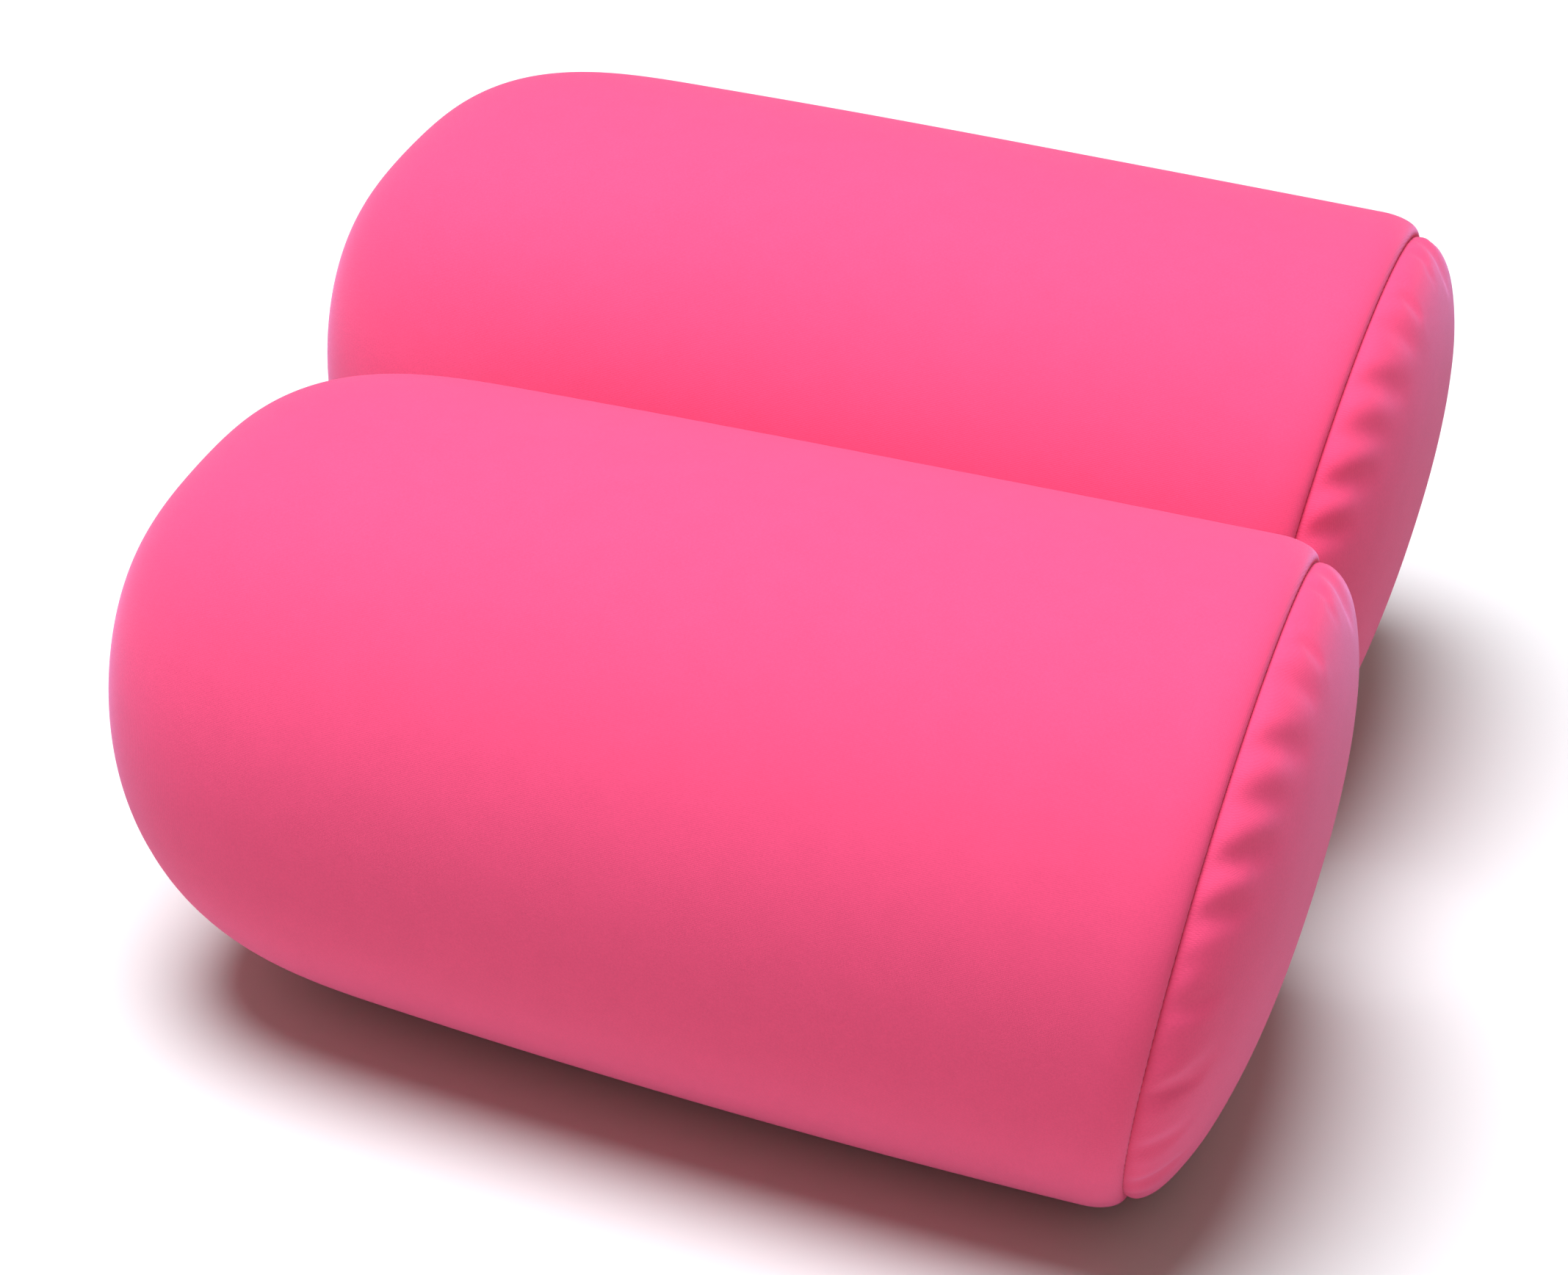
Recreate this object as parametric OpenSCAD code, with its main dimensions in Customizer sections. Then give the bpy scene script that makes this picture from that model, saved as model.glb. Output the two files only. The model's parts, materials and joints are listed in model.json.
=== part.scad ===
/* [Bolster] */
// Largest diameter of a filled bolster
bolster_d = 178; // [165:1:200]
// Length of the tube panel, from end seam to end seam
seam_to_seam = 268; // [260:1:340]
// Share of its radius that the tube loses between its middle and an end seam
barrel = 0.024; // [0.02:0.002:0.034]
// Diameter of an end panel at its seam
seam_d = 159; // [150:1:162]
// How far an end panel crowns out past its seam
crown_h = 24; // [12:1:30]
// Length of the shoulder that turns in from the tube to an end seam
shoulder_l = 27; // [18:1:30]
// Depth of the flat that the fill settles into underneath
settle = 5; // [3:0.5:7]

/* [Pair] */
// Clear space between the two bolsters at their widest
pair_gap = 5; // [5:1:30]
// How far the rear bolster lies to the left of the front one
rear_shift = 22; // [0:1:60]
// How far the rear bolster is turned clockwise, seen from above, in degrees
rear_turn = 1.5; // [0.5:0.5:2]

/* [Fabric] */
// Thickness of the stretch cover
cover_t = 0.8; // [0.6:0.1:1]
// Thickness of the inner liner bag
liner_t = 0.5; // [0.4:0.1:0.6]
// Space between the cover and the liner, where the seam allowances lie
ease = 1.4; // [1.3:0.1:1.6]
// Space between the liner and the fill
fill_ease = 0.4; // [0.3:0.1:0.6]
// Width of the overlocked allowance inside an end seam
allowance_w = 8.5; // [7:0.5:10]
// Width of the blank care label
label_w = 24; // [18:1:30]
// Length of the care label that shows outside the end seam
label_l = 30; // [20:1:35]

/* [Zip] */
// Distance between the zip's top and bottom stops
zip_l = 198; // [150:2:200]
// Height of the zip above the horizontal on the back of a bolster, in degrees
zip_angle = 30; // [28:1:34]
// Width of the cover's opening over the zip
slot_w = 10; // [10:0.5:12]
// Width of one zip tape
tape_w = 13; // [11:0.5:13]
// Width of one row of coil
coil_w = 2; // [1.8:0.1:2]
// Height of a row of coil
coil_t = 1.45; // [1.3:0.05:1.5]
// Length of the slider
slider_l = 10; // [9:0.5:12]
// Width of the slider
slider_w = 7.6; // [7.6:0.1:8]
// Length of the pull tab, from its pivot
pull_l = 23; // [18:1:26]

/* [Hidden] */
$fn = 96;

cover_pink = [0.97, 0.38, 0.6];
seam_pink = [0.85, 0.28, 0.5];
liner_white = [0.94, 0.93, 0.9];
bead_white = [0.98, 0.98, 0.98];
zip_pink = [0.93, 0.33, 0.56];
label_white = [0.96, 0.95, 0.93];

tube_r = bolster_d / 2;
seam_r = seam_d / 2;
half = seam_to_seam / 2;
shoulder_x = half - shoulder_l;
lying_h = tube_r - settle;
reach = half + crown_h;

// Insets of the nested skins from the outer surface of the cover
allowance_out = cover_t + 0.2;
allowance_in = cover_t + ease - 0.3;
liner_out = cover_t + ease;
liner_in = liner_out + liner_t;
fill_out = liner_in + fill_ease;

// The zip's levels are distances from the bolster's axis, out through the zip
stop_l = 2;
slot_end = zip_l / 2 + stop_l + 2;
tape_end = slot_end + 4;
tape_top = barrelled(tape_end) - cover_t - 0.2;
tape_t = 0.5;
centre_gap = 0.6;
coil_top = tape_top + coil_t;
coil_edge = centre_gap + coil_w;
slider_gap = 0.25;
plate_t = 0.75;
post_half = 0.3;
top_plate = coil_top + slider_gap;
slider_top = top_plate + plate_t;
bottom_plate = tape_top - tape_t - slider_gap - 0.1;
slider_bottom = bottom_plate - plate_t;
pocket_floor = slider_bottom - 0.4;
pocket_half = tape_w + 1;
pocket_end = tape_end + 1.2;
closed_x = zip_l / 2 - slider_l / 2 - 1;
pivot_h = slider_top + 1.2;
pivot_r = 0.55;
lug_half = 1;
lug_r = 1.15;
pull_t = 1.2;
pull_w = 5.2;
pull_arm = 1.2;
label_gap = 0.3;
label_t = 0.8;

// The rear bolster's place, and the middle of the pair's box
pitch = 2 * tube_r + pair_gap;
tip = half * cos(rear_turn) + sqrt(pow(crown_h * cos(rear_turn), 2) + pow(seam_r * sin(rear_turn), 2));
belly = tube_r * cos(rear_turn)
  + pow(sin(rear_turn) * half, 2) / (4 * cos(rear_turn) * tube_r * barrel);
pair_x = (max(reach, tip - rear_shift) + min(-reach, -tip - rear_shift)) / 2;
pair_y = (pitch + belly - tube_r) / 2;

// Radius of the barrelled tube at a distance x from its middle
function barrelled(x) = tube_r * (1 - barrel * pow(x / half, 2));

// Half of a bolster's outline as [radius, x], set in by an inset, from the middle to the tip
function half_outline(inset) = concat(
  [for (i = [0:8]) let(x = shoulder_x * i / 8) [barrelled(x) - inset, x]],
  [for (i = [1:7]) let(s = i / 7, r = barrelled(shoulder_x))
    [r - (r - seam_r) * pow(s, 3) - inset, shoulder_x + shoulder_l * s]],
  [for (i = [1:12]) let(a = 90 * i / 12)
    [(seam_r - inset) * cos(a), half + (crown_h - inset) * sin(a)]]
);

// The whole outline, from tip to tip
function outline(inset) = let(side = half_outline(inset), last = len(side) - 1)
  concat([for (i = [last:-1:1]) [side[i][0], -side[i][1]]], side);

// The closed space inside one skin of a bolster, flat where it rests
module filled(inset) {
  intersection() {
    rotate([0, 90, 0]) rotate_extrude() polygon(outline(inset));
    translate([-2 * reach, -2 * tube_r, inset - lying_h]) cube([4 * reach, 4 * tube_r, 4 * tube_r]);
  }
}

// One skin, between two insets
module skin(outer, inner) {
  difference() {
    filled(outer);
    filled(inner);
  }
}

// What lies between two distances along the bolster
module stretch_of(from, to) {
  intersection() {
    children();
    translate([from, -2 * tube_r, -2 * tube_r]) cube([to - from, 4 * tube_r, 4 * tube_r]);
  }
}

// Turns +Z to point out through the zip
module at_zip() {
  rotate([zip_angle - 90, 0, 0]) children();
}

// A block of the zip, centred on its line: half-length, half-width, lowest and highest level
module zip_block(half_l, half_w, low, high) {
  translate([-half_l, -half_w, low]) cube([2 * half_l, 2 * half_w, high - low]);
}

// The pocket for the zip that a skin of the liner or the fill has, grown by a margin
module zip_pocket(grow) {
  at_zip() zip_block(pocket_end + grow, pocket_half + grow, pocket_floor - grow, 2 * tube_r);
}

// The opening in the cover over the zip
module zip_slot() {
  at_zip() {
    zip_block(slot_end - slot_w / 2, slot_w / 2, tube_r / 2, 2 * tube_r);
    for (side = [-1, 1])
      translate([side * (slot_end - slot_w / 2), 0, tube_r / 2]) cylinder(r = slot_w / 2, h = 2 * tube_r);
  }
}

module tube_panel() {
  color(cover_pink) difference() {
    stretch_of(-half, half) skin(0, cover_t);
    zip_slot();
  }
}

module end_panel(side) {
  color(cover_pink) stretch_of(side > 0 ? half : -2 * half, side > 0 ? 2 * half : -half) skin(0, cover_t);
}

// The overlocked allowance inside an end seam
module end_seam(side) {
  near = half - allowance_w;
  far = half - 0.5;
  color(seam_pink) stretch_of(side > 0 ? near : -far, side > 0 ? far : -near)
    skin(allowance_out, allowance_in);
}

// The lengthwise seam that closes the tube at each end of the zip
module closing_seam() {
  near = pocket_end + 1;
  far = half - allowance_w - 1;
  color(seam_pink) intersection() {
    skin(allowance_out, allowance_in);
    at_zip() for (side = [-1, 1])
      translate([side * (near + far) / 2, 0, 0]) zip_block((far - near) / 2, 7, 0, 2 * tube_r);
  }
}

// A blank label, sewn into the left end seam beside the zip and lying on the end panel
module care_label() {
  color(label_white) intersection() {
    stretch_of(-2 * half, -half - 1) skin(-label_gap - label_t, -label_gap);
    at_zip() translate([-2 * half, -label_w / 2, seam_r - label_l]) cube([half, label_w, label_l]);
  }
}

// One woven tape, curved round the bolster under the cover
module zip_tape(side) {
  color(zip_pink) at_zip() intersection() {
    rotate([0, 90, 0]) difference() {
      cylinder(r = tape_top, h = 2 * tape_end, center = true);
      cylinder(r = tape_top - tape_t, h = 2 * reach, center = true);
    }
    translate([0, side * (tape_w + centre_gap) / 2, 0])
      zip_block(tape_end, (tape_w - centre_gap) / 2, tube_r / 2, tube_r);
  }
}

// One row of coil, as the block that its turns fill
module zip_coil(side) {
  color(zip_pink) at_zip() translate([0, side * (centre_gap + coil_edge) / 2, 0])
    zip_block(zip_l / 2 - 0.2, coil_w / 2, tape_top, coil_top);
}

// Two top stops at the right end and one bottom stop across both rows at the left end
module zip_stops() {
  stop_top = coil_top + 0.2;
  color("silver") at_zip() {
    for (side = [-1, 1])
      translate([zip_l / 2 + stop_l / 2, side * (centre_gap + coil_edge) / 2, 0])
        zip_block(stop_l / 2, coil_w / 2, tape_top, stop_top);
    translate([-zip_l / 2 - stop_l / 2, 0, 0]) zip_block(stop_l / 2, coil_edge, tape_top, stop_top);
  }
}

// The slider at the closed end: two plates round the coil, a post between its rows and a lug
module zip_slider() {
  flange_t = slider_w / 2 - coil_edge - slider_gap;
  color("silver") at_zip() translate([closed_x, 0, 0]) difference() {
    union() {
      zip_block(slider_l / 2, slider_w / 2, top_plate, slider_top);
      zip_block(slider_l / 2, slider_w / 2, slider_bottom, bottom_plate);
      for (side = [-1, 1])
        translate([0, side * (slider_w - flange_t) / 2, 0])
          zip_block(slider_l / 2, flange_t / 2, tape_top + slider_gap, top_plate);
      translate([slider_l / 2 - 1.5, 0, 0]) zip_block(1.5, post_half, bottom_plate, top_plate);
      zip_block(lug_r, lug_half, slider_top, pivot_h);
      translate([0, 0, pivot_h]) rotate([90, 0, 0]) cylinder(r = lug_r, h = 2 * lug_half, center = true);
    }
    translate([0, 0, pivot_h]) rotate([90, 0, 0])
      cylinder(r = pivot_r + 0.08, h = 4 * lug_half, center = true);
  }
}

// The pull tab, lying along the zip towards its open end
module zip_pull() {
  arm_l = 4.5;
  hole_r = 1.3;
  color("silver") at_zip() translate([closed_x, 0, pivot_h]) {
    rotate([90, 0, 0]) cylinder(r = pivot_r, h = pull_w - 0.4, center = true);
    for (side = [-1, 1])
      translate([-arm_l / 2, side * (pull_w - pull_arm) / 2, 0])
        zip_block(arm_l / 2 + pivot_r, pull_arm / 2, -pull_t / 2, pull_t / 2);
    difference() {
      union() {
        translate([-(arm_l + pull_l - pull_w / 2) / 2, 0, 0])
          zip_block((pull_l - pull_w / 2 - arm_l) / 2 + 0.5, pull_w / 2, -pull_t / 2, pull_t / 2);
        translate([pull_w / 2 - pull_l, 0, 0]) cylinder(r = pull_w / 2, h = pull_t, center = true);
      }
      translate([pull_w / 2 - pull_l, 0, 0]) cylinder(r = hole_r, h = 4 * pull_t, center = true);
    }
  }
}

module liner_skin() {
  difference() {
    filled(liner_out);
    zip_pocket(0);
    difference() {
      filled(liner_in);
      zip_pocket(liner_t);
    }
  }
}

module liner_tube() {
  color(liner_white) stretch_of(-half, half) liner_skin();
}

module liner_end(side) {
  color(liner_white) stretch_of(side > 0 ? half : -2 * half, side > 0 ? 2 * half : -half)
    skin(liner_out, liner_in);
}

// The beads, as the space that they fill
module bead_fill() {
  color(bead_white) difference() {
    filled(fill_out);
    zip_pocket(liner_t + fill_ease);
  }
}

module front() {
  translate([-pair_x, -pair_y, lying_h]) children();
}

module rear() {
  translate([-pair_x - rear_shift, pitch - pair_y, lying_h]) rotate([0, 0, -rear_turn]) children();
}

front() tube_panel();  // front_tube_panel
front() end_panel(-1);  // front_end_panel_left
front() end_panel(1);  // front_end_panel_right
front() end_seam(-1);  // front_end_seam_left
front() end_seam(1);  // front_end_seam_right
front() closing_seam();  // front_closing_seam
front() care_label();  // front_care_label
front() zip_tape(-1);  // front_zip_tape_upper
front() zip_tape(1);  // front_zip_tape_lower
front() zip_coil(-1);  // front_zip_coil_upper
front() zip_coil(1);  // front_zip_coil_lower
front() zip_stops();  // front_zip_stops
front() zip_slider();  // front_zip_slider
front() zip_pull();  // front_zip_pull
front() liner_tube();  // front_liner_tube
front() liner_end(-1);  // front_liner_end_left
front() liner_end(1);  // front_liner_end_right
front() bead_fill();  // front_bead_fill
rear() tube_panel();  // rear_tube_panel
rear() end_panel(-1);  // rear_end_panel_left
rear() end_panel(1);  // rear_end_panel_right
rear() end_seam(-1);  // rear_end_seam_left
rear() end_seam(1);  // rear_end_seam_right
rear() closing_seam();  // rear_closing_seam
rear() care_label();  // rear_care_label
rear() zip_tape(-1);  // rear_zip_tape_upper
rear() zip_tape(1);  // rear_zip_tape_lower
rear() zip_coil(-1);  // rear_zip_coil_upper
rear() zip_coil(1);  // rear_zip_coil_lower
rear() zip_stops();  // rear_zip_stops
rear() zip_slider();  // rear_zip_slider
rear() zip_pull();  // rear_zip_pull
rear() liner_tube();  // rear_liner_tube
rear() liner_end(-1);  // rear_liner_end_left
rear() liner_end(1);  // rear_liner_end_right
rear() bead_fill();  // rear_bead_fill
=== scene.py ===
import json
import math

import bmesh
import bpy
import numpy as np
from mathutils import Matrix, Vector


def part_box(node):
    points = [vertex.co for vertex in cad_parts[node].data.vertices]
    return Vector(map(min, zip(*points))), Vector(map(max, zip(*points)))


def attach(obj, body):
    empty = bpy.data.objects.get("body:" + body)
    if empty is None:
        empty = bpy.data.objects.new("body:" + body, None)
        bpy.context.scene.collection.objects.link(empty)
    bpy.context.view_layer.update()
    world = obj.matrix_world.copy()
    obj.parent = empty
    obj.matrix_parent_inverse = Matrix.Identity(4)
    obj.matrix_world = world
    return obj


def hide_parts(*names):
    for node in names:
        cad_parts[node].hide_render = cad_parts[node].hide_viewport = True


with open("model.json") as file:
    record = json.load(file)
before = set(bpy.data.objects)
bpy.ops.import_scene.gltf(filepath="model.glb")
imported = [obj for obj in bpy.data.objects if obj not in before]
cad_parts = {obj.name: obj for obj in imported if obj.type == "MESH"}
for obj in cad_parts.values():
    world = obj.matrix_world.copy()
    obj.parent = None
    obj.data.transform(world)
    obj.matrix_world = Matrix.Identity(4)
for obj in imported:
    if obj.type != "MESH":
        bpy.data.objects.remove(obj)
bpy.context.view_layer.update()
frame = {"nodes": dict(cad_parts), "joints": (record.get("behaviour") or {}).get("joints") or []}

# ---- Sizes. Everything is in metres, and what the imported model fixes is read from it.

MM = 0.001
BOLSTERS = ("front", "rear")
ENDS = {"left": -1, "right": 1}

joints = {joint["name"]: joint for joint in frame["joints"]}
tube_low, tube_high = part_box("front_tube_panel")
TUBE_R = (tube_high.y - tube_low.y) / 2
HALF = (tube_high.x - tube_low.x) / 2
LYING_H = tube_high.z - TUBE_R

COVER_T = 0.8 * MM
LINER_INSET = 2.2 * MM
LINER_T = 0.5 * MM
FILL_INSET = 3.1 * MM

# The filled shape: how a bolster differs from a plain cylinder with domed ends. The right end turns in
# tightly to its seam, and its panel crowns out past it. The left end is one long rounding, and its seam
# lies in a plane that leans away from the front and the top. The cloth is slack on top of the left end.
BARREL = 0.02
SEAM_X = HALF - 2.5 * MM
SEAM_R = 0.93 * TUBE_R
SHOULDER_L = 0.12 * TUBE_R
CROWN_H = 0.24 * TUBE_R + 2.5 * MM
CROWN_POWER = 2.2
ROUNDING_START = HALF - 0.60 * TUBE_R
ROUNDING_L = 0.94 * TUBE_R
ROUNDING_POWER = 3.28
SEAM_PLANE_X = 1.591 * TUBE_R
SEAM_PLANE_SLOPE = 0.37
SEAM_PLANE_TURN = math.radians(145)
TAPER = 0.04
LEAN_BACK = {-1: 0.0745, 1: -0.0723}
LEAN_UP = {-1: -0.0966, 1: 0.1339}
SLACK_DEPTH = 6.7 * MM
SLACK_X = -112 * MM
SLACK_L = 51 * MM
SLACK_TURN = math.radians(96)
SLACK_HALF_TURN = math.radians(27)
SLACK_SLANT = 0.7
BOW_BACK = 0.0154 * TUBE_R
BOW_UP = 0.0078 * TUBE_R
GROOVE_DEPTH = 0.75 * MM
GROOVE_L = 1.2 * MM
PRESSED_HALF_TURN = math.radians(75)
PRESSED_FADE = math.radians(35)
CONTACT_GAP = 0.5 * MM


def bolster_frame(side):
    """The frame of one bolster: X along it, Y to its back, Z up, from the middle of its axis."""
    along = -Vector(joints[f"{side}_zip_slide"]["axis"]).normalized()
    up = Vector((0, 0, 1))
    matrix = Matrix((along, up.cross(along), up)).transposed().to_4x4()
    low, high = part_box(f"{side}_tube_panel")
    matrix.translation = ((low.x + high.x) / 2, (low.y + high.y) / 2, LYING_H)
    return matrix


def zip_frame(side):
    """The frame of one zip: X along it, Y down across it, Z out through it, from the same middle."""
    along = -Vector(joints[f"{side}_zip_slide"]["axis"]).normalized()
    across = Vector(joints[f"{side}_pull_swing"]["axis"]).normalized()
    matrix = Matrix((along, across, along.cross(across))).transposed().to_4x4()
    matrix.translation = bolster_frame(side).translation
    return matrix


def box_in(matrix, node):
    """A CAD node's lowest and highest corners in another frame."""
    turned = matrix.inverted()
    points = np.array([turned @ vertex.co for vertex in frame["nodes"][node].data.vertices])
    return points.min(0), points.max(0)


FRAMES = {side: bolster_frame(side) for side in BOLSTERS}
ZIP_FRAMES = {side: zip_frame(side) for side in BOLSTERS}
out_of_zip = FRAMES["front"].inverted().to_3x3() @ ZIP_FRAMES["front"].col[2].to_3d()
ZIP_ANGLE = math.atan2(out_of_zip.z, out_of_zip.y)

tape_high = box_in(ZIP_FRAMES["front"], "front_zip_tape_lower")[1]
coil_low, coil_high = box_in(ZIP_FRAMES["front"], "front_zip_coil_lower")
stop_high = box_in(ZIP_FRAMES["front"], "front_zip_stops")[1]
slider_low, slider_high = box_in(ZIP_FRAMES["front"], "front_zip_slider")
pull_low, pull_high = box_in(ZIP_FRAMES["front"], "front_zip_pull")
label_low, label_high = box_in(ZIP_FRAMES["front"], "front_care_label")
TAPE_TOP = tape_high[2]
TAPE_END = tape_high[0]
STOP_END = stop_high[0]
COIL_TOP = coil_high[2]
POCKET_FLOOR = slider_low[2] - 0.4 * MM
pivot = ZIP_FRAMES["front"].inverted() @ Vector(joints["front_pull_swing"]["pos_m"])
PIVOT_X = pivot.x
PIVOT_H = pivot.z

# The opening over the zip, between two hemmed lips
LIP = 4.2 * MM
HEM_W = 5.2 * MM
HEM_TOP = TAPE_TOP + 2 * COVER_T + 0.1 * MM
HEM_FADE = 1.2 * MM
LIP_ROUND = 0.8 * MM
SEAM_ROUND = 1.2 * MM
STITCH_LINE = LIP + 2.3 * MM
STITCH_DENT = 0.22 * MM
STITCH_DENT_W = 0.5 * MM
OPENING_END = STOP_END + 2 * MM
LIP_CLOSE_L = 6 * MM
SEAM_HALF_GAP = 0.15 * MM
ZIP_FLAT = 10 * MM
ZIP_REACH_UP = 37 * MM
ZIP_REACH_DOWN = 75 * MM
ZIP_FADE_L = 12 * MM
TAB_REACH = 2 * PIVOT_X - pull_low[0] + 1.5 * MM


# ---- The shape of a bolster, in its own frame

def wrapped(angle):
    """An angle, brought to within half a turn of 0."""
    return (angle + math.pi) % (2 * math.pi) - math.pi


def smooth(t):
    """0 to 1 with soft ends, as t goes from 0 to 1."""
    t = np.clip(t, 0, 1)
    return t * t * (3 - 2 * t)


def soft_floor(value, floor, softness):
    """value, kept above a floor, with a rounded corner where it meets the floor."""
    rise = np.clip((value - floor) / softness, -60, 60)
    return floor + softness * np.log1p(np.exp(rise)) + np.maximum(value - floor - 60 * softness, 0)


def groove(s):
    """How deep the cover dips at a distance s from an end seam."""
    return GROOVE_DEPTH * np.exp(-np.abs(s) / GROOVE_L)


def barrelled(x):
    return TUBE_R * (1 - BARREL * (x / HALF) ** 2)


def profile_normals(rows):
    """The outward normal (along x, along the radius) at each row of a profile that runs to +X."""
    run = np.gradient(rows, axis=0)
    run /= np.linalg.norm(run, axis=1)[:, None]
    return np.stack([-run[:, 1], run[:, 0]], 1)


def profile(*parts):
    """The rows and normals of a profile that runs to +X, from its parts."""
    rows = np.concatenate(parts)
    return rows, profile_normals(rows)


def joined(*profiles):
    """The rows and normals of several profiles, one after the other."""
    return [np.concatenate(part) for part in zip(*profiles)]


def arc_from_start(rows):
    """The distance along a profile from its first row."""
    return np.concatenate([[0], np.cumsum(np.linalg.norm(np.diff(rows, axis=0), axis=1))])


def read_off(at, distances, rows):
    """The rows of a profile or path, read off between its own at other distances along it."""
    return np.stack([np.interp(at, distances, rows[:, i]) for i in range(rows.shape[1])], -1)


def rounding_profile():
    """The left end's rounding, finely: distances along it, points and outward normals, out to its tip."""
    turn = np.linspace(0, math.pi / 2, 1500)
    x = -(ROUNDING_START + ROUNDING_L * np.sin(turn) ** (2 / ROUNDING_POWER))
    points = np.stack([x, barrelled(x) * np.cos(turn) ** (2 / ROUNDING_POWER)], 1)
    return arc_from_start(points), points, profile_normals(points[::-1])[::-1]


ROUNDING = rounding_profile()
ROUNDING_ARC = ROUNDING[0][-1]


def on_rounding(distance):
    """The points and outward normals of the left end, at distances along its rounding."""
    return read_off(distance, ROUNDING[0], ROUNDING[1]), read_off(distance, ROUNDING[0], ROUNDING[2])


def seam_distance(angles):
    """How far along the left end's rounding its seam lies, at each angle."""
    share = np.full(np.shape(angles), 0.6)
    for _ in range(30):
        radius = TUBE_R * (1 - share ** ROUNDING_POWER) ** (1 / ROUNDING_POWER)
        plane_x = SEAM_PLANE_X + SEAM_PLANE_SLOPE * radius * np.cos(angles - SEAM_PLANE_TURN)
        share = (share + np.clip((plane_x - ROUNDING_START) / ROUNDING_L, 0, 0.999)) / 2
    return np.interp(-ROUNDING_START - ROUNDING_L * share, ROUNDING[1][::-1, 0], ROUNDING[0][::-1])


def middle_rows(step):
    """The tube's profile as rows of (x, radius), between its two ends' roundings."""
    shoulder_start = SEAM_X - SHOULDER_L
    count = round((shoulder_start + ROUNDING_START) / step)
    x = np.linspace(-ROUNDING_START, shoulder_start, count + 1)
    return np.stack([x, barrelled(x)], 1)


def crowded(steps, power):
    """Steps from 0 to 1, without the 1, closer together towards 0 the higher the power."""
    return np.linspace(0, 1, steps + 1)[:-1] ** power


def shoulder_rows(steps):
    """The tube's profile where it turns in to the right end seam."""
    turn = math.pi / 2 * (1 - crowded(steps, 1.5)[::-1])
    x = SEAM_X - SHOULDER_L + SHOULDER_L * np.sin(turn)
    return np.stack([x, barrelled(x) - (barrelled(x) - SEAM_R) * (1 - np.cos(turn))], 1)


def crown_rows(steps):
    """The right end panel's profile as rows of (x, radius), from its seam to near its middle."""
    turn = crowded(steps, 1.25) * math.pi / 2
    return np.stack([SEAM_X + CROWN_H * np.sin(turn), SEAM_R * np.cos(turn) ** (2 / CROWN_POWER)], 1)


CROWN = profile(crown_rows(400))
CROWN_ARC = arc_from_start(CROWN[0])


def rounded(x, y, z):
    """The settled shape: a slack place on the top left, leaning ends, a slight taper and a slight bow."""
    off_slack = wrapped(np.arctan2(z, y) - SLACK_TURN)
    slack = SLACK_DEPTH * np.exp(-((x - SLACK_X) / SLACK_L) ** 2 - (off_slack / SLACK_HALF_TURN) ** 2)
    x = x + SLACK_SLANT * slack
    shrink = 1 - SLACK_SLANT * slack / TUBE_R
    y, z = y * shrink, z * shrink
    share = x / HALF
    for end in (-1, 1):
        weight = np.clip((end * share - 0.3) / 0.7, 0, 1.5)
        x = x + weight * (LEAN_BACK[end] * y + LEAN_UP[end] * z)
    share = np.clip(x / HALF, -1.1, 1.1)
    grow = 1 + TAPER * share
    bend = share ** 2 - 1 / 3
    return x, y * grow + BOW_BACK * bend, z * grow + BOW_UP * bend


def lateral_of(y, z):
    """The distance down the surface from the zip's line."""
    return -wrapped(np.arctan2(z, y) - ZIP_ANGLE) * TUBE_R


def zip_share(x, y, z):
    """1 close to the zip and where its pull tab can lie, where the cover is straight, fading to 0 around."""
    lateral = lateral_of(y, z)
    reach = np.where(lateral < 0, ZIP_REACH_UP, ZIP_REACH_DOWN)
    across = 1 - smooth((np.abs(lateral) - ZIP_FLAT) / (reach - ZIP_FLAT))
    along = 1 - smooth((np.where(x > 0, x - TAB_REACH, -x - TAPE_END)) / ZIP_FADE_L)
    return across * along


meeting_point = (FRAMES["front"].translation + FRAMES["rear"].translation) / 2
meeting_normal = (FRAMES["front"].col[1].to_3d() + FRAMES["rear"].col[1].to_3d()).normalized()
meeting_point.z = 0


def keep_clear(side, points, inset):
    """Flattens what would go through the floor or past the other bolster."""
    x, y, z = points.T
    z = soft_floor(z, inset - LYING_H, 1.2 * MM)
    turned = FRAMES[side].inverted()
    normal = turned.to_3x3() @ meeting_normal
    if side == "rear":
        normal = -normal
    limit = normal.dot(turned @ meeting_point) - CONTACT_GAP - inset
    reach = x * normal.x + y * normal.y
    over = -soft_floor(-reach, -limit, 1.0 * MM) - reach
    return np.stack([x + over * normal.x, y + over * normal.y, z], 1)


def at_inset(side, rows, normals, angles, inset, push=0.0):
    """A grid of points on the bolster's skin. rows and normals are the profile's, one for each row, or a
    whole grid of them. angles may differ from row to row. inset and push, the move outwards, are single
    or grids."""
    count = len(rows)
    angles = np.broadcast_to(angles, (count, np.shape(angles)[-1]))
    cos, sin = np.cos(angles), np.sin(angles)
    if rows.ndim == 2:
        rows, normals = rows[:, None], normals[:, None]
    x = np.broadcast_to(rows[..., 0], angles.shape)
    radius = np.broadcast_to(rows[..., 1], angles.shape)
    share = zip_share(x, radius * cos, radius * sin)
    sx, sy, sz = rounded(x, radius * cos, radius * sin)
    sx = sx * (1 - share) + x * share
    sy = sy * (1 - share) + HEM_TOP * cos * share
    sz = sz * (1 - share) + HEM_TOP * sin * share
    normal_x = normals[..., 0] * (1 - share)
    normal_r = normals[..., 1] * (1 - share) + share
    out = push - inset
    sx, sy, sz = sx + normal_x * out, sy + normal_r * cos * out, sz + normal_r * sin * out
    flat_inset = np.broadcast_to(inset, angles.shape).ravel()
    points = keep_clear(side, np.stack([sx.ravel(), sy.ravel(), sz.ravel()], 1), flat_inset)
    return points.reshape(count, -1, 3)


# ---- Making meshes

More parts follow.
